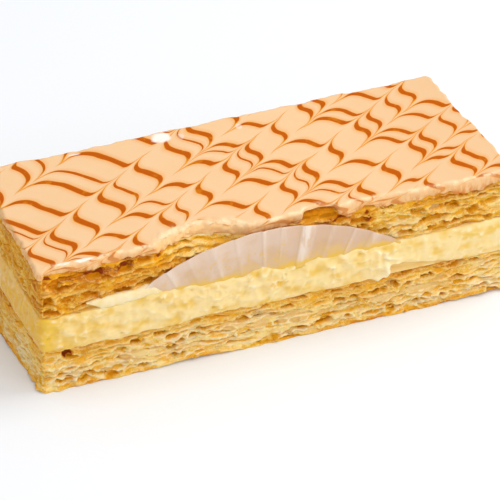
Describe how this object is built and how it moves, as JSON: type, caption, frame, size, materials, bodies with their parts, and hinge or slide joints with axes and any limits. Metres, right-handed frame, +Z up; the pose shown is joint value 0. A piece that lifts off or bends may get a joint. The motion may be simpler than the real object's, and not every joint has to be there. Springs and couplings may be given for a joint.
{
  "type": "mille feuille slice",
  "caption": "Long bar of custard between two blocks of flaky puff pastry, with a feathered fondant top and a fluted paper standing at the front.",
  "frame": {"origin": "middle of the underside of the whole slice's box, on the surface that it lies on", "axes": "+X along the slice to its right end, +Y to its back, +Z up through the layers"},
  "size_m": [0.1298, 0.0508, 0.0364],
  "materials": {
    "base_pastry": "baked puff pastry, matte and flaky, pale gold with amber hollows",
    "custard": "set pastry cream, moist, pale yellow",
    "lid_pastry": "baked puff pastry, matte and flaky, golden with toasted spots",
    "icing": "set fondant, satin peach with feathered caramel lines",
    "paper": "thin greaseproof paper, slightly see-through, with folds"
  },
  "bodies": {
    "root": {"base_pastry": "base_pastry", "custard": "custard", "lid_pastry": "lid_pastry", "icing": "icing", "paper_liner": "paper"}
  },
  "joints": []
}
